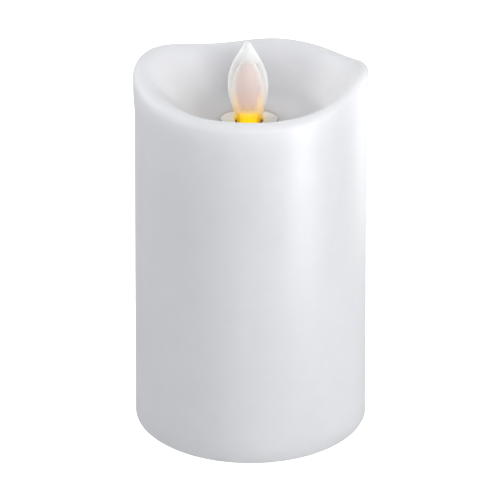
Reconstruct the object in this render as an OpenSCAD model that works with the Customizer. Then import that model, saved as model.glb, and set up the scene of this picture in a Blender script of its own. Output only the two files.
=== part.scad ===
// Flameless pillar candle: wax shell with a melted rim and bowl, a swaying
// translucent flame on a wire pivot, and a battery base inside the shell.
// The origin is the centre of the foot, +Z is up and -Y is the front.

/* [Wax pillar] */
// Outer diameter of the pillar
pillar_d = 76.2; // [76:0.2:110]
// Mean height of the melted rim above the table
pillar_h = 124.3; // [108:0.1:180]
// Thickness of the wax wall
wax_wall = 5.6; // [4:0.1:5.8]
// Depth of the bowl floor below the mean rim
bowl_depth = 15.8; // [12:0.1:24]
// Thickness of the wax under the bowl floor
bowl_web = 8.5; // [5:0.1:12]
// Rounding of the bottom edge
foot_round = 0.6; // [0.2:0.1:1.2]
// Outward bulge of the wax just below the rim
rim_bulge = 0.55; // [0:0.05:1.2]

/* [Melted rim] */
// Height of the once-around tilt of the rim
rim_tilt = 3.05; // [0:0.05:4]
// Direction in degrees in which the tilted rim is highest
rim_tilt_dir = 272; // [0:1:360]
// Height of the twice-around wave, high at the two sides
rim_saddle = 2.8; // [0:0.05:4]
// Direction in degrees of one high side of that wave
rim_saddle_dir = -10; // [-90:1:90]
// Height of the four-times-around wave
rim_ripple = 1; // [0:0.05:2]
// Direction in degrees of one top of that wave
rim_ripple_dir = -14; // [-45:1:45]
// Height of the five-times-around wave
rim_ruffle = 0.5; // [0:0.05:1.5]
// Direction in degrees of one top of that wave
rim_ruffle_dir = -2; // [-36:1:36]
// Radius of the rim's outer shoulder on the soft left side
shoulder_soft = 3.2; // [2:0.1:8]
// Radius of the rim's outer shoulder on the crisp right side
shoulder_crisp = 2; // [1:0.1:4]
// Width of the slope from the rim to the bowl floor, left side
slope_wide = 20; // [10:0.5:22]
// Width of that slope on the right side
slope_narrow = 13; // [5:0.5:16]

/* [Flame] */
// Height of the flame tip above the bowl floor
flame_h = 28.4; // [22:0.1:36]
// Widest diameter of the flame
flame_d = 13.3; // [10:0.1:16]
// Lean of the flame to the left in degrees
flame_lean = 1; // [0:0.25:3]
// Wall of the flame shell at its foot
foot_wall = 0.8; // [0.6:0.1:1.2]
// Wall of the inner diffuser
diffuser_wall = 0.8; // [0.5:0.1:1]
// Sway of the flame to each side in degrees
flame_sway = 5; // [2:0.5:5]

/* [Collar and mechanism tower] */
// Sideways offset of the flame mechanism from the pillar axis
mech_x = -0.5; // [-2:0.1:2]
// Overhang of the oval collar past the tower, left and right
collar_lip = 0.9; // [0.4:0.1:3]
// Width of the collar in front of and behind its hole
collar_rim = 1.1; // [0.8:0.1:2]
// Thickness of the collar
collar_t = 1.5; // [1:0.1:3]
// Outside diameter of the mechanism tower
tower_d = 17; // [16:0.1:24]
// Wall of the tower
tower_wall = 1.2; // [0.8:0.1:1.3]
// Depth of the flame pivot below the bowl floor
pivot_depth = 7; // [6.5:0.1:8]
// Diameter of the pivot wire
pivot_d = 0.8; // [0.6:0.1:1.2]
// Distance from the pivot to the top of the magnet
magnet_drop = 24; // [16:0.5:26]
// Diameter of the stem magnet
magnet_d = 7; // [5:0.1:7]
// Thickness of the stem magnet
magnet_t = 7; // [3:0.1:8]
// Sideways shift of the magnet that balances the leaning flame
balance_x = 0.2; // [0:0.05:0.4]
// Diameter of the coil winding
coil_d = 10.4; // [8:0.1:11]
// Height of the coil winding
coil_h = 6; // [4:0.1:8]
// Diameter of the LED body
led_d = 3; // [2:0.1:4]
// Height of the LED above its flange
led_h = 4.3; // [3:0.1:5]

/* [Base and housing] */
// Depth of the recess under the base cover
base_recess = 1; // [0.8:0.1:2]
// Thickness of the base cover
base_t = 2; // [1.6:0.1:3]
// Width of the wax foot ring outside the base cover
foot_ring = 3; // [2:0.1:3.2]
// Wall of the inner housing
housing_wall = 1.2; // [1:0.1:1.5]
// Thickness of the deck over the batteries
deck_t = 1.5; // [1:0.1:3]
// Room for the circuit board above the deck
board_room = 18.7; // [17:0.1:30]
// Thickness of the housing lid
lid_t = 2; // [1.2:0.1:3]

/* [Batteries and door] */
// Diameter of one AA cell
cell_d = 14.5; // [13:0.1:14.6]
// Length of one AA cell with its button
cell_l = 50.5; // [42:0.1:50.6]
// Thickness of the battery door
door_t = 1.6; // [1.2:0.1:1.8]
// Diameter of the door's hinge barrel
barrel_d = 3.6; // [3:0.1:4.4]
// Diameter of the door's hinge stubs
stub_d = 1.5; // [1.2:0.1:2]

/* [Switch] */
// Travel of the three-position slide switch to each side
switch_travel = 2; // [1:0.1:3]
// Distance of the switch from the pillar axis towards the front
switch_reach = 24.5; // [23:0.1:26]

/* [Fits] */
// Gap between moving pieces
gap = 0.3; // [0.2:0.05:0.5]
// Radial running clearance of the pivots
run = 0.05; // [0.03:0.01:0.08]
// Gap between the collar and the wax
wax_gap = 0.2; // [0.1:0.05:0.5]

/* [Hidden] */
$fn = 64;
eps = 0.01;

// Heights of the wax shell
pillar_r = pillar_d / 2;
floor_z = pillar_h - bowl_depth;
cavity_r = pillar_r - wax_wall;
cavity_top = floor_z - bowl_web;
melt_top = pillar_h + rim_tilt + rim_saddle + rim_ripple + rim_ruffle + 2;
bulge_start = 10;
bulge_end = 2;

// Flame mechanism
collar_bottom = floor_z - collar_t;
pivot_z = floor_z - pivot_depth;
led_air = 0.2;
collar_d = tower_d + 2 * collar_lip;
sway_shift = pivot_depth * tan(flame_sway);
diffuser_bore_d = led_d + 2 * (sway_shift + led_air);
flame_bore_d = diffuser_bore_d + 2 * diffuser_wall;
flame_foot_d = flame_bore_d + 2 * foot_wall;
collar_hole_d = flame_foot_d + 2 * (sway_shift + gap);
collar_depth = collar_hole_d + 2 * collar_rim;
tower_r = tower_d / 2;
tower_bore = tower_r - tower_wall;
shoulder_t = 2;
shoulder_grip = 3.5;
stem_ring_bottom = pivot_z + 2.7;
stem_ring_top = stem_ring_bottom + 1.2;
led_board_top = pivot_z + 1.8;
led_board_t = 1;
led_flange_t = 1;
arm_in = led_d / 2 + 1.1;
arm_out = flame_foot_d / 2 + 0.3;
eye_r = pivot_d / 2 + 1.1;
stem_cross_top = pivot_z - 3;
stem_cross_t = 1.5;
magnet_top = pivot_z - magnet_drop;
magnet_cup_wall = 0.5;
magnet_bottom = magnet_top - magnet_t;
coil_gap = 3;
flange_t = 1;
coil_top = magnet_bottom - coil_gap - flange_t;
coil_bottom = coil_top - coil_h;
led_wire_d = 0.9;
led_wire_at = [4.3, 4.8];
coil_wire_d = 0.6;

// Base
base_top = base_recess + base_t;
base_r = pillar_r - foot_ring - wax_gap;
housing_r = cavity_r - 0.7;
door_bottom = base_recess;
door_top = door_bottom + door_t;
cell_z = door_top + gap + cell_d / 2;
cell_y = cell_d / 2 + 0.15;
contact_t = 0.4;
spring_l = 2.7;
bay_l = cell_l + spring_l + 2 * contact_t;
bay_w = 2 * cell_y + cell_d + 2 * gap;
deck_bottom = cell_z + cell_d / 2 + 0.4;
deck_top = deck_bottom + deck_t;
housing_top = deck_top + board_room;
lid_top = housing_top + lid_t;
door_l = bay_l - 0.2;
door_front = -bay_w / 2 - 1.25;
hinge_y = bay_w / 2 + 2.25;
hinge_z = door_bottom + barrel_d / 2;
open_rear = hinge_y - barrel_d / 2;
door_wide_end = open_rear - 1;
barrel_l = door_l - 13.8;
ear_t = 3;
screw_d = 2.2;
head_d = 4.2;
head_t = 1;
boss_d = 4.8;
base_bosses = [[0, bay_w / 2 + 10.5], [-16, -bay_w / 2 - 7.5], [16, -bay_w / 2 - 7.5]];
lid_boss_r = housing_r - 4.3;
lid_boss_dirs = [90, 210, 330];

// Switch
switch_y = -switch_reach;
switch_l = 13;
switch_w = 6;
switch_h = 5.5;
knob_l = 3;
knob_w = 2;
carriage = [4.4, 3.4, 1.4];
carriage_z = base_top + 0.9;

// Circuit board
board = [40, 24, 1.6];
post_h = 3.2;
board_bottom = deck_top + post_h;
board_top = board_bottom + board[2];
board_holes = [[17.5, 9.5], [-17.5, -9.5]];
board_posts = [[17.5, 9.5], [-17.5, -9.5], [-17.5, 9.5], [17.5, -9.5]];

wax = [0.90, 0.90, 0.92];
frosted = [0.96, 0.93, 0.88, 0.7];
amber = [0.98, 0.72, 0.35];
housing_white = [0.86, 0.86, 0.86];
steel = [0.72, 0.73, 0.75];
board_green = [0.12, 0.42, 0.25];

// Small helpers

// Height of the melted rim at angle a.
function rim_z(a) = pillar_h
    + rim_tilt * cos(a - rim_tilt_dir)
    + rim_saddle * cos(2 * (a - rim_saddle_dir))
    + rim_ripple * cos(4 * (a - rim_ripple_dir))
    + rim_ruffle * cos(5 * (a - rim_ruffle_dir));
// Share of the left side in a quantity that changes from right to left.
function leftness(a) = (1 - cos(a)) / 2;
function mix(p, q, t) = p + (q - p) * t;
function ease(t) = t * t * (3 - 2 * t);
function shoulder_r(a) = mix(shoulder_crisp, shoulder_soft, leftness(a));
function crest_r(a) = pillar_r + rim_bulge - shoulder_r(a);
function slope_w(a) = mix(slope_narrow, slope_wide, leftness(a));

// A round bar from z0 to z1.
module rod(d, z0, z1) {
    translate([0, 0, z0])
        cylinder(d = d, h = z1 - z0);
}

// A flat ring from z0 to z1.
module ring(d, bore, z0, z1) {
    difference() {
        rod(d, z0, z1);
        rod(bore, z0 - 1, z1 + 1);
    }
}

// An oval bar from z0 to z1.
module oval(width, depth, z0, z1) {
    translate([0, 0, z0])
        linear_extrude(z1 - z0)
            scale([1, depth / width])
                circle(d = width);
}

// A box centred on [x, y] from z0 to z1.
module block(size, at, z0, z1) {
    translate([at[0] - size[0] / 2, at[1] - size[1] / 2, z0])
        cube([size[0], size[1], z1 - z0]);
}

function unit(v) = v / norm(v);

// A round tube along a path of points. No stretch runs along the side vector.
module tube(path, d, side, sides = 8) {
    last = len(path) - 1;
    points = [for (i = [0 : last])
        let (
            t = unit(path[min(i + 1, last)] - path[max(i - 1, 0)]),
            n = unit(cross(t, side)),
            b = cross(t, n)
        )
        for (j = [0 : sides - 1])
            let (a = 360 * j / sides)
            path[i] + d / 2 * (cos(a) * n + sin(a) * b)];
    polyhedron(points, concat(
        [[for (j = [0 : sides - 1]) j]],
        [for (i = [0 : last - 1], j = [0 : sides - 1])
            let (k = (j + 1) % sides)
            [i * sides + j, (i + 1) * sides + j, (i + 1) * sides + k]],
        [for (i = [0 : last - 1], j = [0 : sides - 1])
            let (k = (j + 1) % sides)
            [i * sides + j, (i + 1) * sides + k, i * sides + k]],
        [[for (j = [sides - 1 : -1 : 0]) last * sides + j]]
    ));
}

// A pan-head screw along +Z with its head below z = 0.
module screw(length, head = head_d, shank = screw_d) {
    difference() {
        translate([0, 0, -head_t])
            cylinder(d = head, h = head_t);
        translate([0, 0, -head_t - eps])
            cube([head * 0.6, 0.5, 0.8], center = true);
        translate([0, 0, -head_t - eps])
            cube([0.5, head * 0.6, 0.8], center = true);
    }
    cylinder(d = shank, h = length);
}

// Moves the flame mechanism onto its own axis.
module on_mech() {
    translate([mech_x, 0, 0])
        children();
}

// Wax

// Side of the pillar with its rounded foot and the bulge under the rim.
function pillar_outline() = concat(
    [[0, 0]],
    [for (a = [0 : 15 : 90]) [
        pillar_r - foot_round + foot_round * sin(a),
        foot_round - foot_round * cos(a)
    ]],
    [for (t = [0 : 0.125 : 1]) [
        pillar_r + rim_bulge * ease(t),
        pillar_h - mix(bulge_start, bulge_end, t)
    ]],
    [[pillar_r + rim_bulge, melt_top], [0, melt_top]]
);

melt_sides = 48;
slope_steps = 8;
shoulder_steps = 4;
melt_rings = slope_steps + shoulder_steps + 2;

// Point of the melted surface on the slope, t from floor to crest.
function slope_point(a, t) = [
    crest_r(a) - slope_w(a) * (1 - t),
    floor_z + (rim_z(a) - floor_z) * ease(t)
];
// Point on the rounded shoulder, u degrees past the crest.
function shoulder_point(a, u) = [
    crest_r(a) + shoulder_r(a) * sin(u),
    rim_z(a) - shoulder_r(a) * (1 - cos(u))
];
// Point of ring k: slope, then shoulder, then past the outside.
function melt_point(k, a) =
    k <= slope_steps ? slope_point(a, k / slope_steps)
    : k < melt_rings - 1 ? shoulder_point(a, (k - slope_steps) * 70 / shoulder_steps)
    : shoulder_point(a, 70) + [2 * cos(70), -2 * sin(70)];

// Space above the melted surface, from the bowl floor over the rim.
module melt_space() {
    points = concat(
        [for (k = [0 : melt_rings - 1], j = [0 : melt_sides - 1])
            let (a = 360 * j / melt_sides, p = melt_point(k, a))
            [p[0] * cos(a), p[0] * sin(a), p[1]]],
        [for (j = [0 : melt_sides - 1])
            let (a = 360 * j / melt_sides)
            [(pillar_r + 6) * cos(a), (pillar_r + 6) * sin(a), melt_top + 2]]
    );
    function at(k, j) = k * melt_sides + j % melt_sides;
    polyhedron(points, concat(
        [[for (j = [0 : melt_sides - 1]) at(0, j)]],
        [for (k = [0 : melt_rings - 1], j = [0 : melt_sides - 1])
            [at(k, j), at(k + 1, j), at(k + 1, j + 1)]],
        [for (k = [0 : melt_rings - 1], j = [0 : melt_sides - 1])
            [at(k, j), at(k + 1, j + 1), at(k, j + 1)]],
        [[for (j = [melt_sides - 1 : -1 : 0]) at(melt_rings, j)]]
    ));
}

module wax_shell() {
    color(wax)
        difference() {
            rotate_extrude($fn = 96)
                polygon(pillar_outline());
            rod(2 * (pillar_r - foot_ring), -1, base_top);
            rod(2 * cavity_r, base_top - 1, cavity_top);
            on_mech() {
                rod(tower_d + 2, cavity_top - 1, collar_bottom + wax_gap);
                oval(collar_d + 2 * wax_gap, collar_depth + 2 * wax_gap, collar_bottom, floor_z + 2);
            }
            melt_space();
        }
}

// Oval collar in the bowl floor around the flame foot.
module collar_ring() {
    color([0.88, 0.87, 0.84])
        on_mech()
            difference() {
                oval(collar_d, collar_depth, collar_bottom, floor_z);
                rod(collar_hole_d, collar_bottom - 1, floor_z + 1);
                translate([0, 0, floor_z - 0.3])
                    cylinder(d1 = collar_hole_d, d2 = collar_hole_d + 0.8, h = 0.4);
            }
}

// Flame

// Half-outline of the flame above the collar: height share of flame_h, radius.
function flame_outline() = [
    [0, flame_foot_d / 2],
    [0.05, mix(flame_foot_d, flame_d, 0.15) / 2],
    [0.10, mix(flame_foot_d, flame_d, 0.33) / 2],
    [0.15, mix(flame_foot_d, flame_d, 0.49) / 2],
    [0.21, mix(flame_foot_d, flame_d, 0.67) / 2],
    [0.28, mix(flame_foot_d, flame_d, 0.84) / 2],
    [0.36, mix(flame_foot_d, flame_d, 0.98) / 2],
    [0.43, flame_d / 2],
    [0.50, flame_d * 0.495],
    [0.56, flame_d * 0.48],
    [0.62, flame_d * 0.445],
    [0.69, flame_d * 0.395],
    [0.75, flame_d * 0.34],
    [0.82, flame_d * 0.265],
    [0.88, flame_d * 0.2],
    [0.95, flame_d * 0.115],
    [0.98, flame_d * 0.07],
    [1, 0]
];
cavity_share = 0.80;
core_share = 0.78;
belly_share = 0.36;
cavity_d = flame_d - 2.7;
core_d = cavity_d - 0.6;

// Solid of revolution up from the fork: a straight foot, then the outline.
module flame_solid(foot_d, outline) {
    rotate_extrude($fn = 48)
        polygon(concat(
            [[0, stem_ring_top], [foot_d / 2, stem_ring_top]],
            [for (p = outline) [p[1], floor_z + p[0]]]
        ));
}

// Teardrop from the bore through its belly to a rounded top: height, radius.
function teardrop(bore, belly, height) = concat(
    [for (t = [0 : 0.25 : 1]) [t * belly_share * height, mix(bore, belly, ease(t)) / 2]],
    [for (u = [10 : 10 : 80]) [
        mix(belly_share, 1, sin(u)) * height,
        belly / 2 * pow(cos(u), 1.5)
    ]],
    [[height, 0]]
);

// The moving flame's frame, leaning to the left about the pivot.
module on_flame() {
    translate([mech_x, 0, pivot_z])
        rotate([0, -flame_lean, 0])
            translate([0, 0, -pivot_z])
                children();
}

module flame_shell() {
    color(frosted)
        on_flame()
            difference() {
                flame_solid(flame_foot_d, [for (p = flame_outline()) [p[0] * flame_h, p[1]]]);
                flame_solid(flame_bore_d, teardrop(flame_bore_d, cavity_d, cavity_share * flame_h));
                rod(flame_bore_d, stem_ring_top - 1, floor_z);
            }
}

module flame_diffuser() {
    color(amber)
        on_flame()
            difference() {
                union() {
                    flame_solid(flame_bore_d - 0.6,
                        teardrop(flame_bore_d - 0.6, core_d, core_share * flame_h));
                    rod(flame_bore_d, stem_ring_top, floor_z - 0.4);
                }
                flame_solid(diffuser_bore_d,
                    teardrop(diffuser_bore_d, core_d - 2 * diffuser_wall, core_share * flame_h - diffuser_wall));
                rod(diffuser_bore_d, stem_ring_top - 1, floor_z);
            }
}

// Fork that carries the flame: ring, two arms with eyes, stem and cup.
module flame_stem() {
    color([0.35, 0.35, 0.37])
        on_flame()
            difference() {
                union() {
                    ring(2 * arm_out, 2 * arm_in - 0.4, stem_ring_bottom, stem_ring_top);
                    for (side = [-1, 1])
                        stem_arm(side);
                    block([2.4, 2 * arm_out], [0, 0], stem_cross_top - stem_cross_t, stem_cross_top);
                    rod(2, magnet_top + 1, stem_cross_top - stem_cross_t + eps);
                    translate([-balance_x, 0, 0])
                        rod(magnet_d + 2 * magnet_cup_wall, magnet_bottom + 1, magnet_top + 1.2);
                }
                translate([-balance_x, 0, 0])
                    rod(magnet_d, magnet_bottom - 1, magnet_top);
                translate([0, 0, pivot_z])
                    rotate([90, 0, 0])
                        cylinder(d = pivot_d + 2 * run, h = 4 * arm_out, center = true);
            }
}

// One arm of the fork, flat, with a round eye at the pivot.
module stem_arm(side) {
    mid = side * (arm_in + arm_out) / 2;
    intersection() {
        union() {
            block([2.4, arm_out - arm_in], [0, mid], stem_cross_top - stem_cross_t, stem_ring_top);
            translate([0, mid, pivot_z])
                rotate([90, 0, 0])
                    cylinder(r = eye_r, h = arm_out - arm_in, center = true);
        }
        rod(2 * arm_out, stem_cross_top - 5, stem_ring_top);
    }
}

module stem_magnet() {
    color(steel)
        on_flame()
            translate([-balance_x, 0, 0])
                rod(magnet_d, magnet_bottom, magnet_top);
}

module pivot_wire() {
    color(steel)
        translate([mech_x, 0, pivot_z])
            rotate([90, 0, 0])
                cylinder(d = pivot_d, h = tower_d - 0.4, center = true);
}

// Mechanism tower

ear_heights = [lid_top + 9, mix(lid_top, cavity_top, 0.82)];
ear_reach = 4.5;
ear_l = 5;

// The whole tower before it is split into a front and a rear half.
module tower_body() {
    difference() {
        union() {
            rod(tower_d, lid_top, collar_bottom);
            rod(tower_d + 11, lid_top, lid_top + shoulder_t);
            rod(tower_d + 2 * shoulder_grip, cavity_top - shoulder_t, cavity_top);
            for (z = ear_heights)
                block([tower_d + 2 * ear_reach, ear_l], [0, 0], z - 3, z + 3);
        }
        rod(2 * tower_bore, lid_top - 1, collar_bottom + 1);
        translate([0, 0, pivot_z])
            rotate([90, 0, 0])
                cylinder(d = pivot_d, h = tower_d + 2, center = true);
        for (side = [-1, 1])
            for (z = ear_heights)
                translate([side * (tower_r + ear_reach / 2 + 0.2), 0, z])
                    rotate([90, 0, 0])
                        cylinder(d = 1.8, h = ear_l + 2, center = true);
        for (side = [-1, 1])
            translate([0, side * (tower_r + 2.9), 0])
                rod(screw_d, lid_top - 1, lid_top + shoulder_t + 1);
        block([2 * tower_r + 0.1, 3.8], [0, 0], led_board_top - led_board_t, led_board_top);
    }
}

// Half of the space, side -1 at the front and +1 at the rear.
module half_space(side) {
    translate([-50, side > 0 ? 0 : -50, 0])
        cube([100, 50, melt_top]);
}

module tower_front_half() {
    color(housing_white)
        on_mech()
            intersection() {
                tower_body();
                half_space(-1);
            }
}

module tower_rear_half() {
    color([0.80, 0.80, 0.81])
        on_mech()
            intersection() {
                tower_body();
                half_space(1);
            }
}

// Four screws that pull the two tower halves together.
module tower_screws() {
    color(steel)
        on_mech()
            for (side = [-1, 1])
                for (z = ear_heights)
                    translate([side * (tower_r + ear_reach / 2 + 0.2), -ear_l / 2, z])
                        rotate([-90, 0, 0])
                            screw(ear_l - 0.4, head = 3.2, shank = 1.8);
}

// Two screws that hold the tower foot to the housing lid.
module tower_base_screws() {
    color(steel)
        on_mech()
            for (side = [-1, 1])
                translate([0, side * (tower_r + 2.9), lid_top + shoulder_t])
                    rotate([180, 0, 0])
                        screw(shoulder_t + lid_t - 0.2, head = 3.6);
}

// Light and drive

module led_board() {
    color(board_green)
        on_mech()
            intersection() {
                block([2 * tower_r, 3.8], [0, 0], led_board_top - led_board_t, led_board_top);
                rod(tower_d, led_board_top - 2, led_board_top);
            }
}

module flame_led() {
    color([1, 0.85, 0.5])
        on_mech() {
            rod(led_d + 0.8, led_board_top, led_board_top + led_flange_t);
            rod(led_d, led_board_top + led_flange_t, led_board_top + led_flange_t + led_h - led_d / 2);
            translate([0, 0, led_board_top + led_flange_t + led_h - led_d / 2])
                difference() {
                    sphere(d = led_d);
                    translate([0, 0, -led_d])
                        cube(2 * led_d, center = true);
                }
        }
}

// The two wires from the LED board down the tower to the circuit board.
module led_wires() {
    drop = led_board_top - led_board_t;
    color([0.75, 0.15, 0.12])
        on_mech()
            for (side = [-1, 1])
                tube([
                    [side * 6, 0, drop],
                    [side * 6, 0, drop - 5],
                    [side * led_wire_at[0], -side * led_wire_at[1], drop - 12],
                    [side * led_wire_at[0], -side * led_wire_at[1], board_top]
                ], led_wire_d, [0, 1, 0]);
}

// Bobbin on a foot disc that fits the tower bore.
module coil_bobbin() {
    color([0.2, 0.2, 0.22])
        on_mech()
            difference() {
                union() {
                    rod(2 * tower_bore, coil_bottom - flange_t, coil_bottom);
                    rod(4, coil_bottom - eps, coil_top + eps);
                    rod(coil_d + 0.6, coil_top, coil_top + flange_t);
                }
                rod(2, coil_bottom - flange_t - 1, coil_top + flange_t + 1);
                for (side = [-1, 1]) {
                    translate([side * led_wire_at[0], -side * led_wire_at[1], 0])
                        rod(led_wire_d + 0.6, coil_bottom - 2, coil_bottom + 1);
                    translate([0, side * (coil_d / 2 + coil_wire_d / 2), 0])
                        rod(coil_wire_d + 0.6, coil_bottom - 2, coil_bottom + 1);
                }
            }
}

module coil_winding() {
    color([0.72, 0.40, 0.20])
        on_mech()
            ring(coil_d, 4, coil_bottom, coil_top);
}

module coil_wires() {
    color([0.72, 0.40, 0.20])
        on_mech()
            for (side = [-1, 1])
                translate([0, side * (coil_d / 2 + coil_wire_d / 2), 0])
                    rod(coil_wire_d, board_top, coil_bottom + 2);
}

// Inner housing

module inner_housing() {
    color(housing_white)
        difference() {
            union() {
                ring(2 * housing_r, 2 * (housing_r - housing_wall), base_top, housing_top);
                intersection() {
                    rod(2 * housing_r, base_top, deck_top);
                    union() {
                        block([bay_l + 2 * housing_wall, bay_w + 2 * housing_wall], [0, 0], base_top, deck_top);
                        rod(2 * housing_r, deck_bottom, deck_top);
                        for (at = base_bosses)
                            translate(at)
                                rod(boss_d, base_top, deck_top);
                    }
                }
                for (dir = lid_boss_dirs)
                    rotate(dir)
                        translate([lid_boss_r, 0, 0])
                            rod(boss_d, deck_top - eps, housing_top);
                for (at = board_posts)
                    translate(at)
                        rod(4, deck_top - eps, board_bottom);
            }
            block([bay_l, bay_w], [0, 0], base_top - 1, deck_bottom);
            block([barrel_l + 2 * ear_t + 2.6, barrel_d + 2.4], [0, hinge_y], base_top - 1, hinge_z + barrel_d / 2 + 0.9);
            block([9, 4], [0, switch_y], deck_bottom - 1, deck_top + 1);
            for (at = base_bosses)
                translate(at)
                    rod(screw_d, base_top - 1, base_top + 7);
            for (dir = lid_boss_dirs)
                rotate(dir)
                    translate([lid_boss_r, 0, 0])
                        rod(screw_d, housing_top - 7, housing_top + 1);
            for (at = board_holes)
                translate(at)
                    rod(screw_d, deck_top + 0.2, board_bottom + 1);
            for (side = [-1, 1])
                block([1.2, 4], [(bay_l - contact_t) / 2, side * cell_y], deck_bottom - 1, deck_top + 1);
        }
}

module housing_lid() {
    color([0.82, 0.82, 0.83])
        difference() {
            union() {
                rod(2 * housing_r, housing_top, lid_top);
                ring(2 * (housing_r - housing_wall) - 0.2, 2 * (housing_r - housing_wall) - 2.4,
                    housing_top - 1.5, housing_top + eps);
            }
            on_mech()
                rod(2 * tower_bore, housing_top - 2, lid_top + 1);
            on_mech()
                for (side = [-1, 1])
                    translate([0, side * (tower_r + 2.9), 0])
                        rod(screw_d, housing_top - 1, lid_top + 1);
            for (dir = lid_boss_dirs)
                rotate(dir)
                    translate([lid_boss_r, 0, 0]) {
                        rod(screw_d, housing_top - 1, lid_top + 1);
                        rod(boss_d + 0.8, housing_top - 2, housing_top);
                    }
        }
}

module lid_screws() {
    color(steel)
        for (dir = lid_boss_dirs)
            rotate(dir)
                translate([lid_boss_r, 0, lid_top])
                    rotate([180, 0, 0])
                        screw(lid_t + 5);
}

// Base cover with the door opening, the hinge ears and the switch slot.
module base_cover() {
    color([0.80, 0.80, 0.80])
        difference() {
            union() {
                rod(2 * base_r, base_recess, base_top);
                for (side = [-1, 1])
                    block([ear_t, barrel_d + 0.4], [side * (barrel_l / 2 + gap + ear_t / 2), hinge_y + 0.2],
                        base_recess, hinge_z + barrel_d / 2 + 0.4);
            }
            difference() {
                door_opening();
                for (side = [-1, 1])
                    block([ear_t, barrel_d + 3], [side * (barrel_l / 2 + gap + ear_t / 2), hinge_y + 1.5],
                        base_recess - 2, base_top + 2);
            }
            translate([0, hinge_y, hinge_z])
                rotate([0, 90, 0])
                    cylinder(d = stub_d + 2 * run, h = barrel_l + 2 * ear_t + 4, center = true);
            block([knob_l + 2 * switch_travel + 2 * gap, knob_w + 2 * gap], [0, switch_y], 0, base_top + 1);
            translate([0, door_front - gap, 0])
                rod(11, base_recess - 1, base_recess + 0.7);
            for (at = base_bosses)
                translate(at) {
                    rod(head_d + 0.4, base_recess - 1, base_recess + head_t + 0.2);
                    rod(screw_d, base_recess, base_top + 1);
                }
        }
}

// The door's opening: a wide part, and a slot for the hinge barrel.
module door_opening() {
    front = door_front - gap;
    block([door_l + 2 * gap, open_rear - front], [0, (open_rear + front) / 2], base_recess - 1, base_top + 1);
    block([barrel_l + 2 * gap, barrel_d + gap], [0, hinge_y + gap / 2], base_recess - 1, base_top + 1);
}

module base_screws() {
    color(steel)
        for (at = base_bosses)
            translate([at[0], at[1], base_recess + head_t + 0.2])
                screw(7);
}

module battery_door() {
    color([0.78, 0.78, 0.78])
        difference() {
            union() {
                block([door_l, door_wide_end - door_front], [0, (door_wide_end + door_front) / 2],
                    door_bottom, door_top);
                block([barrel_l, hinge_y - door_front], [0, (hinge_y + door_front) / 2], door_bottom, door_top);
                translate([0, hinge_y, hinge_z])
                    rotate([0, 90, 0])
                        cylinder(d = barrel_d, h = barrel_l, center = true);
                translate([0, hinge_y, hinge_z])
                    rotate([0, 90, 0])
                        cylinder(d = stub_d, h = barrel_l + 2 * ear_t, center = true);
            }
            for (i = [0 : 4])
                block([14, 0.6], [0, door_front + 2 + i * 1.4], door_bottom - 1, door_bottom + 0.4);
        }
}

// Batteries and contacts

// One AA cell along +X with its button at +X.
module cell() {
    rotate([0, 90, 0]) {
        translate([0, 0, -cell_l / 2])
            cylinder(d = cell_d, h = cell_l - 1);
        translate([0, 0, cell_l / 2 - 1 - eps])
            cylinder(d = 5.5, h = 1 + eps);
    }
}

cell_x = (bay_l - cell_l) / 2 - contact_t;

module battery_front() {
    color([0.20, 0.22, 0.25])
        translate([cell_x, -cell_y, cell_z])
            cell();
}

module battery_rear() {
    color([0.20, 0.22, 0.25])
        translate([-cell_x, cell_y, cell_z])
            rotate([0, 0, 180])
                cell();
}

contact_w = 10;
contact_h = 10;

// A flat contact on the wall of the battery bay at side +1 or -1.
module contact_plate(side, y) {
    block([contact_t, contact_w], [side * (bay_l - contact_t) / 2, y], cell_z - contact_h / 2,
        cell_z + contact_h / 2);
}

// The tab of a contact through the deck, for its wire.
module contact_tab(side, y) {
    block([contact_t, 3], [side * (bay_l - contact_t) / 2, y], cell_z, deck_top + 2);
}

spring_turns = 2.5;
spring_wire = 0.7;
// Point of the conical spring's centre line, s from the plate to the cell.
function spring_point(s) = [
    mix(spring_wire / 2 - 0.1, spring_l - spring_wire / 2, s),
    mix(4, 2.2, s) * cos(360 * spring_turns * s),
    mix(4, 2.2, s) * sin(360 * spring_turns * s)
];

// Conical contact spring that grows along +X from a plate at x = 0.
module contact_spring() {
    steps = 50;
    tube([for (i = [0 : steps]) spring_point(i / steps)], spring_wire, [1, 0, 0]);
}

// Strip that joins the two cells at the left end of the bay.
module bridge_contact() {
    color(steel) {
        contact_plate(-1, -cell_y);
        contact_plate(-1, cell_y);
        block([contact_t, 2 * cell_y], [-(bay_l - contact_t) / 2, 0], cell_z - 2, cell_z + 2);
        translate([-bay_l / 2 + contact_t, -cell_y, cell_z])
            contact_spring();
    }
}

module positive_contact() {
    color(steel) {
        contact_plate(1, -cell_y);
        contact_tab(1, -cell_y);
    }
}

module negative_contact() {
    color(steel) {
        contact_plate(1, cell_y);
        contact_tab(1, cell_y);
        translate([bay_l / 2 - contact_t, cell_y, cell_z])
            rotate([0, 0, 180])
                contact_spring();
    }
}

module battery_wires() {
    start = bay_l / 2 - contact_t - 0.5;
    color([0.75, 0.15, 0.12])
        for (side = [-1, 1])
            tube([
                [start, side * cell_y, deck_top + 1.3],
                [start - 2, side * cell_y, board_top + 2.5],
                [board[0] / 2 - 1.5, side * (cell_y - 2), board_top + 2],
                [board[0] / 2 - 3, side * (cell_y - 2), board_top + 0.5]
            ], 1, [0, 1, 0]);
}

// Slide switch

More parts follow.
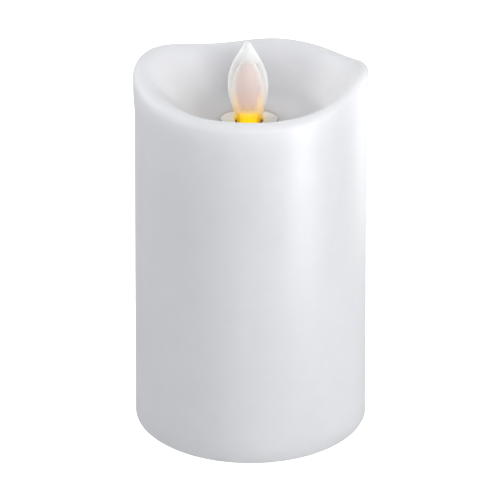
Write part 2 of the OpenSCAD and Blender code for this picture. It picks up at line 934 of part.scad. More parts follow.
module switch_body() {
    top = base_top + switch_h;
    color([0.25, 0.25, 0.27])
        difference() {
            block([switch_l, switch_w], [0, switch_y], base_top, top);
            block([carriage[0] + 2 * switch_travel + 2 * gap, carriage[1] + 2 * gap], [0, switch_y],
                carriage_z - gap, carriage_z + carriage[2] + gap);
            block([knob_l + 2 * switch_travel + 2 * gap, knob_w + 2 * gap], [0, switch_y],
                base_top - 1, carriage_z);
        }
    color(steel)
        for (i = [-1 : 1])
            block([0.6, 1.2], [i * 3, switch_y], top - eps, top + 2);
}

module switch_knob() {
    color([0.12, 0.12, 0.13])
        difference() {
            union() {
                block([knob_l, knob_w], [0, switch_y], base_recess - 0.6, carriage_z + eps);
                block([carriage[0], carriage[1]], [0, switch_y], carriage_z, carriage_z + carriage[2]);
            }
            for (i = [-1 : 1])
                block([0.3, knob_w + 1], [i * 0.8, switch_y], base_recess - 1, base_recess - 0.3);
        }
}

module switch_wires() {
    top = base_top + switch_h + 2;
    color([0.15, 0.15, 0.16])
        for (i = [-1 : 1])
            tube([
                [i * 3, switch_y, top],
                [i * 3, switch_y, board_top - 2],
                [i * 3, -board[1] / 2 - 5, board_top + 3],
                [i * 3, -board[1] / 2 + 1.5, board_top + 0.4]
            ], 0.8, [1, 0, 0]);
}

// Circuit board and what is soldered to it

module circuit_board() {
    color(board_green)
        difference() {
            block([board[0], board[1]], [0, 0], board_bottom, board_top);
            for (at = board_holes)
                translate(at)
                    rod(screw_d, board_bottom - 1, board_top + 1);
        }
}

module board_screws() {
    color(steel)
        for (at = board_holes)
            translate([at[0], at[1], board_top])
                rotate([180, 0, 0])
                    screw(board[2] + post_h - 0.4, head = 3.6);
}

module board_chip() {
    color([0.12, 0.12, 0.13])
        block([6, 4], [-12, 4], board_top + 0.2, board_top + 1.7);
    color(steel)
        for (side = [-1, 1])
            for (i = [0 : 3])
                block([0.5, 1.4], [-12 + (i - 1.5) * 1.4, 4 + side * 2.5], board_top, board_top + 0.8);
}

module board_capacitor() {
    color([0.16, 0.18, 0.35])
        translate([11, 7, 0])
            rod(6, board_top, board_top + 9);
}

// Three axial resistors in a row.
module board_resistors() {
    color([0.80, 0.66, 0.45])
        for (i = [0 : 2])
            translate([9 + i * 3.2, -8, board_top + 1])
                rotate([90, 0, 0]) {
                    cylinder(d = 2, h = 4.5, center = true);
                    cylinder(d = 0.6, h = 7, center = true);
                }
}

module board_transistor() {
    color([0.12, 0.12, 0.13])
        translate([12, -0.5, 0])
            difference() {
                rod(4.6, board_top, board_top + 5);
                translate([-3, 1.4, board_top - 1])
                    cube([6, 3, 8]);
            }
}

module timer_crystal() {
    color(steel)
        translate([-12, -5, board_top + 1.5])
            rotate([0, 90, 0])
                cylinder(d = 3, h = 8, center = true);
}

wax_shell();
collar_ring();
flame_shell();
flame_diffuser();
flame_stem();
stem_magnet();
pivot_wire();
tower_front_half();
tower_rear_half();
tower_screws();
tower_base_screws();
flame_led();
led_board();
led_wires();
coil_bobbin();
coil_winding();
coil_wires();
inner_housing();
housing_lid();
lid_screws();
base_cover();
base_screws();
battery_door();
battery_front();
battery_rear();
bridge_contact();
positive_contact();
negative_contact();
battery_wires();
switch_body();
switch_knob();
switch_wires();
circuit_board();
board_screws();
board_chip();
board_capacitor();
board_resistors();
board_transistor();
timer_crystal();
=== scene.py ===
"""Looks of a flameless pillar candle with a swaying translucent flame, built around its CAD frame."""

import bpy
import numpy as np
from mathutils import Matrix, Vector


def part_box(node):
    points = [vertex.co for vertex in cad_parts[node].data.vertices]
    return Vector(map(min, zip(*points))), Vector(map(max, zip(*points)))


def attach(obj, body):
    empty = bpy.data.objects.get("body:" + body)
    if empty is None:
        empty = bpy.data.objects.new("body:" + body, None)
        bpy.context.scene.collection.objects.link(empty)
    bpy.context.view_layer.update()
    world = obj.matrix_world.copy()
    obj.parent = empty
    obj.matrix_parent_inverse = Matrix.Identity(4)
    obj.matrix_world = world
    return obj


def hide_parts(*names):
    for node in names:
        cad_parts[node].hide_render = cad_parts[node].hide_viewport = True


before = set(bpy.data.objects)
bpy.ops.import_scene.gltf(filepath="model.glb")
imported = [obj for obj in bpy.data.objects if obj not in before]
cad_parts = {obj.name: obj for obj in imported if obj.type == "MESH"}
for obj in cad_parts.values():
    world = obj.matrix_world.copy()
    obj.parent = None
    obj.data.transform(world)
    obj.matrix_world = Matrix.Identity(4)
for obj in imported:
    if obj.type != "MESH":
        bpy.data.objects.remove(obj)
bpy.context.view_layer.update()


# ---------------------------------------------------------------------------
# Wax pillar. Real paraffin, moulded as a hollow pillar and then melted back by
# hand at the top, which leaves a soft left shoulder, a crisp right rim and a
# smooth bowl. The foot is a plain ring around the recessed base cover.

MM = 0.001
collar_low, collar_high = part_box("collar_ring")
pillar_r = 38.1
foot_round = 0.6
ledge_r = 35.1
ledge_z = 3.0
ledge_break = 0.25
edge_break = 0.2
inner_round = 0.3
cavity_r = 32.5
cavity_z = 100.0
bowl_z = collar_high[2] / MM
collar_x = (collar_low[0] + collar_high[0]) / 2 / MM
collar_r = (collar_high[0] - collar_low[0]) / 2 / MM
seat_gap = 0.2
seat_a = collar_r + seat_gap
seat_b = (collar_high[1] - collar_low[1]) / 2 / MM + seat_gap
seat_depth = 1.5
tower_hole_r = 9.5
rim_mean = 124.3
rim_bulge = 0.55
shoulder_right, shoulder_left = 2.0, 3.2
slope_right, slope_left = 16.0, 23.0
slope_power = 1.5


def ease(t):
    """Zero to one with level ends: three t squared less two t cubed."""
    t = np.clip(t, 0.0, 1.0)
    return t * t * (3.0 - 2.0 * t)


def rim_height(a):
    """Mean height plus four cosine waves around the pillar, in mm."""
    waves = [(3.05, 1, 272.0), (2.8, 2, -10.0), (1.0, 4, -14.0), (0.5, 5, -2.0)]
    return rim_mean + sum(h * np.cos(n * (a - np.radians(d))) for h, n, d in waves)


def leftness(a):
    """Nought on the right side of the pillar and one on the left."""
    return (1.0 - np.cos(a)) / 2.0


def wax_profile(a):
    """Closed outline of the wall at angle a, as radius, height and how far the collar's
    sideways offset applies: ledge, foot, side, bulge, shoulder, slope, floor, hole, cavity."""
    one = np.ones_like(a)
    rim = rim_height(a)
    shoulder = shoulder_right + (shoulder_left - shoulder_right) * leftness(a)
    slope = slope_right + (slope_left - slope_right) * leftness(a)
    stops = [(cavity_r * one, ledge_z * one, 0.0)]
    stops += [((cavity_r + ledge_break) * one, ledge_z * one, 0.0)]
    stops += [((ledge_r - edge_break) * one, ledge_z * one, 0.0)]
    stops += [(ledge_r * one, (ledge_z - edge_break) * one, 0.0)]
    stops += [(ledge_r * one, inner_round * one, 0.0)]
    for u in np.radians([180.0, 210.0, 240.0, 270.0]):
        r = ledge_r + inner_round * (1.0 + np.cos(u))
        stops.append((r * one, inner_round * (1.0 + np.sin(u)) * one, 0.0))
    for u in np.radians(np.linspace(0.0, 90.0, 7)):
        r = pillar_r - foot_round + foot_round * np.sin(u)
        stops.append((r * one, foot_round * (1.0 - np.cos(u)) * one, 0.0))
    bulge_low, bulge_high = rim_mean - 15.0, rim_mean - 3.0
    shoulder_low = rim - shoulder
    for t in np.linspace(0.02, 1.0, 70):
        z = foot_round + (shoulder_low - foot_round) * t
        r = pillar_r + rim_bulge * ease((z - bulge_low) / (bulge_high - bulge_low))
        stops.append((r, z, 0.0))
    side_r = stops[-1][0]
    for u in np.radians(np.linspace(0.0, 90.0, 19)[1:]):
        r = side_r - shoulder + shoulder * np.cos(u)
        stops.append((r, shoulder_low + shoulder * np.sin(u), 0.0))
    crest = side_r - shoulder
    for t in np.linspace(0.0, 1.0, 41)[1:]:
        z = bowl_z + (rim - bowl_z) * ease(1.0 - t) ** slope_power
        stops.append((crest - slope * t, z, 0.0))
    floor_r = crest - slope
    seat = seat_a * seat_b / np.hypot(seat_b * np.cos(a), seat_a * np.sin(a))
    for t in np.linspace(0.0, 1.0, 13)[1:]:
        r = floor_r + (seat + edge_break - floor_r) * t
        stops.append((r, bowl_z * one, ease(np.array(t))))
    for u in np.radians([30.0, 60.0, 90.0]):
        r = seat + edge_break * (1.0 - np.sin(u))
        stops.append((r, (bowl_z - edge_break * (1.0 - np.cos(u))) * one, 1.0))
    stops += [(seat, z * one, 1.0) for z in (bowl_z - 0.6, bowl_z - seat_depth)]
    hole_heights = (bowl_z - seat_depth - 0.02, bowl_z - 5.0, cavity_z + edge_break)
    stops += [(tower_hole_r * one, z * one, 1.0) for z in hole_heights]
    stops += [((tower_hole_r + edge_break) * one, cavity_z * one, 1.0)]
    for r in np.linspace(12.0, 32.0, 9):
        stops.append((r * one, cavity_z * one, 1.0 - ease((r - tower_hole_r) / 12.0)))
    stops += [(cavity_r * one, (cavity_z - 0.5) * one, 0.0)]
    stops += [(cavity_r * one, z * one, 0.0) for z in np.linspace(90.0, 12.0, 6)]
    stops += [(cavity_r * one, (ledge_z + ledge_break) * one, 0.0)]
    radius = np.array([s[0] for s in stops])
    height = np.array([s[1] for s in stops])
    offset = np.array([np.broadcast_to(s[2], a.shape) for s in stops])
    return radius, height, offset


def grid_mesh(name, points, wrap_u, wrap_v, cap_low=False, cap_high=False):
    """Mesh of a grid of points, rows along u and columns along v, in mm.
    Wrapped directions join up; a cap closes the first or last row with one centre point."""
    rows, cols = points.shape[:2]
    verts = points.reshape(-1, 3)
    u = np.arange(rows if wrap_u else rows - 1)
    v = np.arange(cols if wrap_v else cols - 1)
    gu, gv = np.meshgrid(u, v, indexing="ij")
    nu, nv = (gu + 1) % rows, (gv + 1) % cols
    quads = np.stack([gu * cols + gv, gu * cols + nv, nu * cols + nv, nu * cols + gv], -1).reshape(-1, 4)
    faces = quads.tolist()
    ring = np.arange(cols)
    if cap_low:
        verts = np.vstack([verts, points[0].mean(axis=0)])
        faces += [[len(verts) - 1, (i + 1) % cols, i] for i in ring.tolist()]
    if cap_high:
        verts = np.vstack([verts, points[-1].mean(axis=0)])
        base = (rows - 1) * cols
        faces += [[len(verts) - 1, base + i, base + (i + 1) % cols] for i in ring.tolist()]
    mesh = bpy.data.meshes.new(name)
    mesh.from_pydata((verts * MM).tolist(), [], faces)
    mesh.polygons.foreach_set("use_smooth", np.ones(len(mesh.polygons), dtype=bool))
    mesh.update()
    piece = bpy.data.objects.new(name, mesh)
    bpy.context.collection.objects.link(piece)
    return piece


class Value:
    """One output socket of a material, with sums written as Python expressions."""

    def __init__(self, finish, socket):
        self.finish = finish
        self.socket = socket

    def _maths(self, operation, first, second):
        return self.finish.node("Math", {"operation": operation}, {0: first, 1: second})

    def __add__(self, other):
        return self._maths("ADD", self, other)

    def __radd__(self, other):
        return self._maths("ADD", other, self)

    def __sub__(self, other):
        return self._maths("SUBTRACT", self, other)

    def __rsub__(self, other):
        return self._maths("SUBTRACT", other, self)

    def __mul__(self, other):
        return self._maths("MULTIPLY", self, other)

    def __rmul__(self, other):
        return self._maths("MULTIPLY", other, self)

    def __truediv__(self, other):
        return self._maths("DIVIDE", self, other)


class Finish:
    """A material and its shader; node() adds any node by type, settings and socket values."""

    def __init__(self, name, **constants):
        self.material = bpy.data.materials.new(name)
        self.material.use_nodes = True
        self.tree = self.material.node_tree
        self.tree.nodes.clear()
        self.output = self.tree.nodes.new("ShaderNodeOutputMaterial")
        self.shader = self.tree.nodes.new("ShaderNodeBsdfPrincipled")
        self.tree.links.new(self.shader.outputs[0], self.output.inputs["Surface"])
        for key, value in constants.items():
            self.shader.inputs[key.replace("_", " ")].default_value = value
        self.place = self.node("TexCoord", {}, {}, "Object")

    def node(self, kind, settings, sockets, output=0):
        made = self.tree.nodes.new("ShaderNode" + kind)
        for key, value in settings.items():
            if key == "stops":
                ramp = made.color_ramp
                while len(ramp.elements) < len(value):
                    ramp.elements.new(1.0)
                for element, (at, colour) in zip(ramp.elements, value):
                    element.position = at
                    element.color = (*colour, 1.0)
            else:
                setattr(made, key, value)
        for key, value in sockets.items():
            self.join(made.inputs[key], value)
        return Value(self, made.outputs[output])

    def join(self, socket, value):
        if isinstance(value, Value):
            self.tree.links.new(value.socket, socket)
        else:
            socket.default_value = value

    def set(self, name, value):
        self.join(self.shader.inputs[name], value)

    def noise(self, scale, detail=2.0, stretch=(1.0, 1.0, 1.0)):
        at = self.node("Mapping", {}, {"Vector": self.place, "Scale": stretch})
        return self.node("TexNoise", {}, {"Vector": at, "Scale": scale, "Detail": detail}, "Fac")

    def ramp(self, fac, stops):
        return self.node("ValToRGB", {"stops": stops}, {"Fac": fac}, "Color")

    def height(self):
        return self.node("SeparateXYZ", {}, {"Vector": self.place}, "Z")

    def bump(self, relief, distance, strength=1.0):
        sockets = {"Height": relief, "Distance": distance, "Strength": strength}
        self.set("Normal", self.node("Bump", {}, sockets))

    def wear(self, *pieces):
        """Gives the pieces this material in place of what they had."""
        for piece in pieces:
            piece.data.materials.clear()
            piece.data.materials.append(self.material)


angles = np.linspace(0.0, 2.0 * np.pi, 320, endpoint=False)
wall_r, wall_z, wall_shift = wax_profile(angles)
melted = ease((wall_z - (rim_mean - 16.0)) / 12.0) * (wall_r > seat_a + 1.0) * (wall_z > bowl_z + 0.2)
ripple = 0.10 * np.sin(5.0 * angles + 0.13 * wall_z + 0.7) + 0.07 * np.sin(9.0 * angles - 0.31 * wall_z)
wall_z = wall_z + melted * ripple
wax_points = np.stack(
    [
        wall_r * np.cos(angles) + wall_shift * collar_x,
        wall_r * np.sin(angles),
        wall_z,
    ],
    -1,
)
wax_pillar = grid_mesh("wax_pillar", wax_points, wrap_u=True, wrap_v=True)

wax = Finish(
    "cool_white_wax",
    Subsurface_Weight=1.0,
    Subsurface_Scale=0.009,
    Subsurface_Radius=(1.0, 0.95, 0.9),
    IOR=1.44,
)
cloudy = wax.noise(26.0, 3.0, (1.0, 1.0, 0.45))
fine_cloud = wax.noise(160.0, 4.0)
tone = wax.ramp(
    cloudy * 0.75 + fine_cloud * 0.25,
    [(0.32, (0.768, 0.777, 0.800)), (0.68, (0.818, 0.827, 0.848))],
)
wax.set("Base Color", tone)
wax.set("Roughness", 0.42 + 0.14 * fine_cloud)
wax.bump(fine_cloud * 0.6 + wax.noise(1400.0, 2.0) * 0.15 + cloudy * 1.2, 0.0002, 0.6)
wax.wear(wax_pillar)
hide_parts("wax_shell")
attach(wax_pillar, "candle")


# ---------------------------------------------------------------------------
# Collar. A flat oval ring of matt off-white plastic, set flush in the bowl floor;
# the flame's foot comes up through its round hole.

collar = Finish("collar_plastic", IOR=1.46)
grain = collar.noise(2600.0, 2.0)
collar_stops = [(0.3, (0.82, 0.865, 0.905)), (0.7, (0.86, 0.905, 0.945))]
collar.set("Base Color", collar.ramp(collar.noise(90.0), collar_stops))
collar.set("Roughness", 0.45 + 0.1 * grain)
collar.bump(grain, 0.00004, 0.5)
collar.wear(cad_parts["collar_ring"])


# ---------------------------------------------------------------------------
# Flame. A thick frosted shell, solid towards the tip, over a glowing amber core.
# Both are moulded in clear plastic; their glow from the LED in the flame's foot is painted glow, as
# emission and warm tones.

flame_low, flame_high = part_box("flame_shell")
flame_foot_z = flame_low[2] / MM
flame_tip_z = flame_high[2] / MM
flame_rise = flame_tip_z - bowl_z


def flame_axis(z):
    """Sideways place of the flame's middle: straight up from the foot, then easing to the
    left by under half a millimetre."""
    t = (z - bowl_z) / flame_rise
    return collar_x - 0.1 - 0.45 * ease(t / 0.8)


def through(stops, t):
    """Smooth curve through (t, value) stops, by cubic steps with slopes from the neighbouring stops."""
    x = np.array([s[0] for s in stops])
    y = np.array([s[1] for s in stops])
    slope = np.gradient(y, x)
    i = np.clip(np.searchsorted(x, t) - 1, 0, len(x) - 2)
    h = x[i + 1] - x[i]
    s = (t - x[i]) / h
    low = (1 + 2 * s) * (1 - s) ** 2 * y[i] + s * (1 - s) ** 2 * h * slope[i]
    return low + s * s * (3 - 2 * s) * y[i + 1] + s * s * (s - 1) * h * slope[i + 1]


def flame_radius(z):
    """Half-width of the flame: a narrow foot, a belly at two fifths, and a long taper."""
    t = (z - bowl_z) / flame_rise
    stops = [(-0.15, 3.9), (0.0, 3.95), (0.04, 4.3), (0.1, 4.85), (0.17, 5.42), (0.24, 5.9), (0.3, 6.3)]
    stops += [(0.37, 6.55), (0.43, 6.62), (0.5, 6.58), (0.56, 6.38), (0.62, 5.92), (0.69, 5.25)]
    stops += [(0.75, 4.5), (0.82, 3.5), (0.88, 2.62), (0.95, 1.5), (1.0, 0.6)]
    return through(stops, t)


def turned(name, heights, radii, across=96):
    """Closed surface of circles of the given radii about the flame's leaning middle line."""
    a = np.linspace(0.0, 2.0 * np.pi, across, endpoint=False)
    x = flame_axis(heights)[:, None] + radii[:, None] * np.cos(a)
    y = radii[:, None] * np.sin(a)
    z = np.broadcast_to(heights[:, None], x.shape)
    return grid_mesh(name, np.stack([x, y, z], -1), False, True, cap_low=True, cap_high=True)


tip_height = 0.6
tip_round = np.radians(np.linspace(0.0, 88.0, 9))
body_z = np.linspace(flame_foot_z, flame_tip_z - tip_height, 90)
body_r = flame_radius(body_z)
tip_r = body_r[-1]
outer_z = np.concatenate([body_z, body_z[-1] + tip_height * np.sin(tip_round[1:])])
outer_r = np.concatenate([body_r, tip_r * np.cos(tip_round[1:])])


core_share = 0.78
cavity_share = 0.798
belly_share = 0.36


def core_radius(z, foot, belly, share):
    """Half-width of a teardrop: eased from the foot to the belly, then the belly times the
    cosine to the power one and a third, up to its top at the given share of the flame."""
    t = (z - bowl_z) / flame_rise / share
    upper = np.clip((t - belly_share) / (1.0 - belly_share), 0.0, 0.9995)
    closing = (1.0 - upper**2) ** 0.66
    return (foot + (belly - foot) * ease(t / belly_share)) * closing


core_top = bowl_z + flame_rise * core_share
core_air = 0.5
climb = np.sin(np.pi / 2 * np.linspace(0.0, 1.0, 80))
core_z = flame_foot_z + (core_top - flame_foot_z) * climb
cavity_down = (flame_foot_z + (core_top + core_air - flame_foot_z) * climb)[::-1]
cavity_down_r = core_radius(cavity_down, 3.12, 5.3, cavity_share)
skin_z = np.concatenate([cavity_down, outer_z])
skin_r = np.concatenate([cavity_down_r, outer_r])
flame_skin = turned("flame_skin", skin_z, skin_r)
flame_core = turned("flame_core", core_z, core_radius(core_z, 3.0, 5.0, core_share))

frost = Finish("frosted_flame", IOR=1.03, Coat_Weight=0.6, Coat_Roughness=0.38)
frost_grain = frost.noise(900.0, 3.0)
frost_rise = (frost.height() - bowl_z * MM) / (flame_rise * MM)
# Painted glow: yellow and amber at the shell's foot, where the LED's light comes through; above that the
# frost's own pale tone.
frost_and_painted_glow_tone = frost.ramp(
    frost_rise + 0.02 * frost_grain,
    [
        (0.08, (0.95, 0.68, 0.02)),
        (0.13, (0.93, 0.72, 0.16)),
        (0.18, (0.90, 0.80, 0.66)),
        (0.30, (0.90, 0.92, 0.89)),
        (1.0, (0.92, 0.945, 0.92)),
    ],
)
frost.set("Base Color", frost_and_painted_glow_tone)
frost.set("Roughness", 0.2 + 0.12 * frost_grain)
edge = frost.node("LayerWeight", {}, {"Blend": 0.5}, "Facing")
tip_cloud = frost.node("MapRange", {}, {"Value": frost_rise, "From Min": 0.76, "From Max": 0.90})
frost.set("Alpha", 0.20 + 0.95 * edge * edge + 0.6 * tip_cloud)
# Painted glow: the shell gives off faint light in these tones, though it is no lamp.
frost.set("Emission Color", frost_and_painted_glow_tone)
frost.shader.inputs["Emission Strength"].default_value = 0.08
frost.bump(frost_grain, 0.00003, 0.4)
frost.wear(flame_skin)
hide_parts("flame_shell")
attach(flame_skin, "flame")

glow = Finish("lit_diffuser", Roughness=0.5, IOR=1.4)
rise = (glow.height() - bowl_z * MM) / (flame_rise * MM)
# Painted glow: yellow near the foot by the LED, fading to pinkish amber up the core.
glow_tone = glow.ramp(
    rise,
    [
        (0.0, (0.95, 0.70, 0.005)),
        (0.13, (0.95, 0.68, 0.01)),
        (0.20, (0.80, 0.46, 0.17)),
        (0.29, (0.66, 0.39, 0.29)),
        (0.45, (0.56, 0.37, 0.33)),
        (0.78, (0.55, 0.43, 0.40)),
    ],
)
# Painted glow: the lower core is painted deeper amber on its two sides, where the LED's light passes
# through more plastic.
sideways = glow.node("SeparateXYZ", {}, {"Vector": glow.place}, "X") + 0.0009
aside = sideways * sideways * 1.0e6
streak_and_painted_glow = glow.node("MapRange", {}, {"Value": aside, "From Min": 6.0, "From Max": 14.0})
low_half = glow.node("MapRange", {}, {"Value": rise, "From Min": 0.42, "From Max": 0.22})
glow_tone = glow.node(
    "Mix",
    {"data_type": "RGBA"},
    {0: streak_and_painted_glow * low_half, 6: glow_tone, 7: (0.98, 0.60, 0.08, 1.0)},
    2,
)
# Painted glow: the core gives off light though it is no lamp, brightest near its foot and on its amber
# sides.
near_foot = glow.node("MapRange", {}, {"Value": rise, "From Min": 0.18, "From Max": 0.10})
lit = 0.34 + 0.51 * near_foot + 0.3 * streak_and_painted_glow * low_half
glow.set("Base Color", glow_tone)
glow_light = glow.node("VectorMath", {"operation": "SCALE"}, {0: glow_tone, "Scale": lit})
glow.set("Emission Color", glow_light)
glow.shader.inputs["Emission Strength"].default_value = 1.0
glow.wear(flame_core)
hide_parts("flame_diffuser")
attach(flame_core, "flame")


# ---------------------------------------------------------------------------
# Fork, magnet and pivot wire. The fork is dark moulded plastic, the magnet is
# nickel-plated and glued in its cup, and the wire is drawn steel.


def moulded(name, dark, light, rough=0.5, grain_size=2200.0):
    """Moulded plastic with a fine eroded grain and a slight drift of tone."""
    made = Finish(name, IOR=1.46)
    spark = made.noise(grain_size, 2.0)
    made.set("Base Color", made.ramp(made.noise(60.0, 3.0), [(0.3, dark), (0.7, light)]))
    made.set("Roughness", rough - 0.06 + 0.14 * spark)
    made.bump(spark, 0.00005, 0.5)
    return made


def plated(name, dark, light, rough=0.25):
    """Plated metal with faint drawn streaks and clouds in its gloss."""
    made = Finish(name, Metallic=1.0)
    streak_and_painted_glow = made.noise(700.0, 3.0, (1.0, 1.0, 0.08))
    made.set("Base Color", made.ramp(streak_and_painted_glow, [(0.3, dark), (0.7, light)]))
    made.set("Roughness", rough + 0.18 * made.noise(220.0, 3.0))
    made.bump(streak_and_painted_glow, 0.00001, 0.4)
    return made


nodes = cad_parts
dark_plastic = moulded("dark_plastic", (0.035, 0.035, 0.038), (0.055, 0.055, 0.06))
dark_plastic.wear(nodes["flame_stem"], nodes["coil_bobbin"])
steel = plated("plated_steel", (0.55, 0.56, 0.58), (0.70, 0.71, 0.72))
steel.wear(nodes["pivot_wire"])
nickel = plated("nickel_plate", (0.62, 0.61, 0.58), (0.78, 0.77, 0.74), 0.12)
nickel.wear(nodes["stem_magnet"])


# ---------------------------------------------------------------------------
# Mechanism tower. Two white moulded halves, screwed together around the wire
# and down to the housing lid.

white_plastic = moulded("white_plastic", (0.60, 0.60, 0.60), (0.66, 0.66, 0.66))
white_plastic.wear(nodes["tower_front_half"], nodes["tower_rear_half"])
steel.wear(nodes["tower_screws"], nodes["tower_base_screws"])


# ---------------------------------------------------------------------------
# LED and drive coil. A clear amber LED on a bar board, its red wires, and a
# lacquered copper winding on a bobbin.

lens = Finish("led_epoxy", IOR=1.5, Transmission_Weight=0.4, Roughness=0.12)
lens_tone = lens.ramp(lens.noise(500.0), [(0.3, (1.0, 0.70, 0.30)), (0.7, (1.0, 0.78, 0.42))])
lens.set("Base Color", lens_tone)
lens.set("Emission Color", lens_tone)
lens.shader.inputs["Emission Strength"].default_value = 1.5
lens.wear(nodes["flame_led"])

laminate = Finish("board_laminate", IOR=1.5, Coat_Weight=0.3)
laminate_stops = [(0.35, (0.02, 0.13, 0.05)), (0.65, (0.04, 0.19, 0.08))]
laminate.set("Base Color", laminate.ramp(laminate.noise(700.0, 3.0), laminate_stops))
laminate.set("Roughness", 0.3 + 0.2 * laminate.noise(400.0))
laminate.bump(laminate.noise(1500.0), 0.00002, 0.4)
laminate.wear(nodes["led_board"], nodes["circuit_board"])

copper = Finish("copper_wire", Metallic=1.0)
turn_bands = {"Vector": copper.place, "Scale": 900.0, "Distortion": 0.3}
turns = copper.node("TexWave", {"bands_direction": "Z"}, turn_bands, "Fac")
copper.set("Base Color", copper.ramp(turns, [(0.2, (0.42, 0.16, 0.06)), (0.8, (0.72, 0.34, 0.16))]))
copper.set("Roughness", 0.25 + 0.15 * copper.noise(300.0))
copper.bump(turns, 0.0001, 0.6)
copper.wear(nodes["coil_winding"], nodes["coil_wires"])

red_sleeve = moulded("red_sleeve", (0.42, 0.02, 0.015), (0.52, 0.035, 0.025), 0.35)
red_sleeve.wear(nodes["led_wires"], nodes["battery_wires"])


# ---------------------------------------------------------------------------
# Housing, lid and base. White moulded plastic; the base cover and the door are
# finely eroded and a little yellower, and the screws are plated steel.

white_plastic.wear(nodes["inner_housing"], nodes["housing_lid"])
base_plastic = moulded("base_plastic", (0.62, 0.615, 0.60), (0.68, 0.675, 0.66), 0.55, 1800.0)
base_plastic.wear(nodes["base_cover"], nodes["battery_door"])
steel.wear(nodes["lid_screws"], nodes["base_screws"])


# ---------------------------------------------------------------------------
# Cells and contacts. Two AA cells in plain printed sleeves, between spring
# contacts of plated steel.

sleeve = Finish("cell_sleeve", IOR=1.5, Coat_Weight=0.5, Coat_Roughness=0.1)
along = sleeve.node("SeparateXYZ", {}, {"Vector": sleeve.place}, "X")
band = sleeve.ramp(
    along * 8.0 + 0.5,
    [
        (0.32, (0.30, 0.20, 0.08)),
        (0.34, (0.03, 0.03, 0.035)),
        (0.66, (0.03, 0.03, 0.035)),
        (0.68, (0.30, 0.20, 0.08)),
    ],
)
sleeve.set("Base Color", band)
sleeve.set("Metallic", 0.3 + 0.2 * sleeve.noise(300.0))
sleeve.set("Roughness", 0.25 + 0.1 * sleeve.noise(500.0))
sleeve.wear(nodes["battery_front"], nodes["battery_rear"])
steel.wear(nodes["bridge_contact"], nodes["positive_contact"], nodes["negative_contact"])


# ---------------------------------------------------------------------------
# Switch. A black slide switch on the base cover, with a ribbed knob that comes
# down through the slot, and black leads.

black_plastic = moulded("black_plastic", (0.02, 0.02, 0.021), (0.032, 0.032, 0.034), 0.4)
black_plastic.wear(nodes["switch_body"], nodes["switch_knob"])
black_sleeve = moulded("black_sleeve", (0.02, 0.02, 0.022), (0.035, 0.035, 0.038), 0.35)
black_sleeve.wear(nodes["switch_wires"])


# ---------------------------------------------------------------------------
# Circuit board parts. The chip and transistor are black moulded epoxy, the crystal
# is a steel can, and the capacitor and resistors have a sleeve and ringed lacquer.

black_plastic.wear(nodes["board_chip"], nodes["board_transistor"])
steel.wear(nodes["board_screws"], nodes["timer_crystal"])
can = Finish("capacitor_sleeve", IOR=1.5, Coat_Weight=0.4)
can.set("Base Color", can.ramp(can.noise(200.0), [(0.3, (0.02, 0.025, 0.10)), (0.7, (0.03, 0.035, 0.14))]))
can.set("Roughness", 0.25 + 0.15 * can.noise(600.0))
can.wear(nodes["board_capacitor"])
lacquer = Finish("resistor_lacquer", IOR=1.5)
ring_bands = {"Vector": lacquer.place, "Scale": 220.0, "Distortion": 0.0}
ring = lacquer.node("TexWave", {"bands_direction": "Y"}, ring_bands, "Fac")
lacquer.set("Base Color", lacquer.ramp(ring, [(0.15, (0.30, 0.08, 0.03)), (0.25, (0.62, 0.45, 0.24))]))
lacquer.set("Roughness", 0.35 + 0.1 * lacquer.noise(500.0))
lacquer.wear(nodes["board_resistors"])


# ---------------------------------------------------------------------------
# Studio. A plain white floor that stays white, four softboxes around the candle
# and two narrow strips that only show as soft streaks in its gloss.

quarter = np.pi / 2 * np.linspace(0.0, 1.0, 24)
cove_r, dome_r = 7.0 + np.sin(quarter), 8.0 * np.cos(quarter)
cove_z, dome_z = 1.0 - np.cos(quarter), 5.0 + 3.0 * np.sin(quarter)
sweep_r = np.concatenate([[0.002, 1.0, 5.0], cove_r, [8.0], dome_r])
sweep_z = np.concatenate([[0.0, 0.0, 0.0], cove_z, [5.0], dome_z])
around = np.linspace(0.0, 2.0 * np.pi, 96, endpoint=False)
sweep = np.stack(
    [
        sweep_r[:, None] * np.cos(around),
        sweep_r[:, None] * np.sin(around),
        np.broadcast_to(sweep_z[:, None], (len(sweep_z), 96)),
    ],
    -1,
)
studio_sweep = grid_mesh("studio_sweep", sweep[::-1] / MM, False, True)
paper = Finish("studio_paper", Base_Color=(0.9, 0.9, 0.9, 1.0), Roughness=0.9)
paper.shader.inputs["Emission Color"].default_value = (1.0, 1.0, 1.0, 1.0)
paper.shader.inputs["Emission Strength"].default_value = 1.0
paper.wear(studio_sweep)
studio_sweep.visible_diffuse = False
studio_sweep.visible_glossy = False
studio_sweep.visible_shadow = False


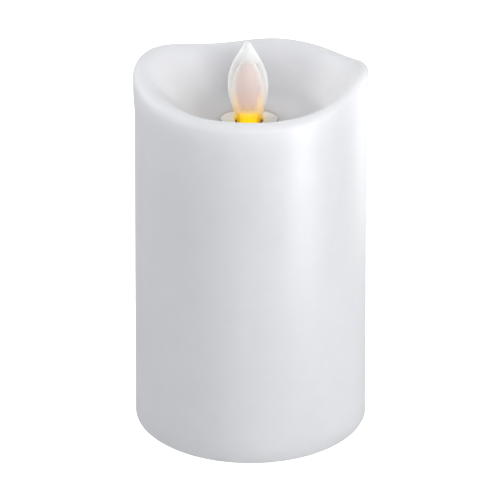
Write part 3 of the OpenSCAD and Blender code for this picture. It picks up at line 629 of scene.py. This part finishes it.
def softbox(name, azimuth, elevation, distance, size, power):
    """A rectangular light at a direction from the candle, azimuth 0 in front, facing it."""
    az, el = np.radians(azimuth), np.radians(elevation)
    aim = Vector((0.0, 0.0, 0.07))
    away = Vector((np.sin(az) * np.cos(el), -np.cos(az) * np.cos(el), np.sin(el)))
    lamp = bpy.data.lights.new(name, "AREA")
    lamp.shape = "RECTANGLE"
    lamp.size, lamp.size_y = size
    lamp.energy = power
    made = bpy.data.objects.new(name, lamp)
    made.location = aim + away * distance
    made.rotation_euler = (-away).to_track_quat("-Z", "Y").to_euler()
    bpy.context.collection.objects.link(made)
    return made


box_distance = 0.9
box_size = (0.40, 0.50)
strip_size = (0.03, 0.09)
softbox("front_softbox", 10.0, 20.0, box_distance, box_size, 3.1)
softbox("right_softbox", 60.0, 16.0, box_distance, box_size, 1.8)
softbox("rear_right_softbox", 120.0, 20.0, box_distance, box_size, 2.3)
softbox("rear_left_softbox", -120.0, 30.0, box_distance, box_size, 3.4)
for strip in (
    softbox("front_strip", 46.0, -3.0, 0.16, strip_size, 0.28),
    softbox("edge_strip", 130.0, -10.0, 0.20, strip_size, 0.08),
):
    strip.visible_diffuse = False
    strip.visible_camera = False

world = bpy.data.worlds.new("studio_world")
world.use_nodes = True
world.node_tree.nodes["Background"].inputs["Color"].default_value = (0.96, 0.97, 1.0, 1.0)
world.node_tree.nodes["Background"].inputs["Strength"].default_value = 0.46
scene = bpy.context.scene
scene.world = world
scene.view_settings.view_transform = "Standard"

camera_data = bpy.data.cameras.new("camera")
camera_data.lens = 1092.0
camera_data.sensor_width = 36.0
camera_data.clip_end = 20.0
camera = bpy.data.objects.new("camera", camera_data)
tilt = np.radians(28.0)
aim = Vector((-0.0002, 0.0, 0.0596))
distance = 5.0
stand = Vector((0.0, -distance * np.cos(tilt), 0.066 + distance * np.sin(tilt)))
camera.location = stand
camera.rotation_euler = (aim - stand).to_track_quat("-Z", "Y").to_euler()
bpy.context.collection.objects.link(camera)
scene.camera = camera
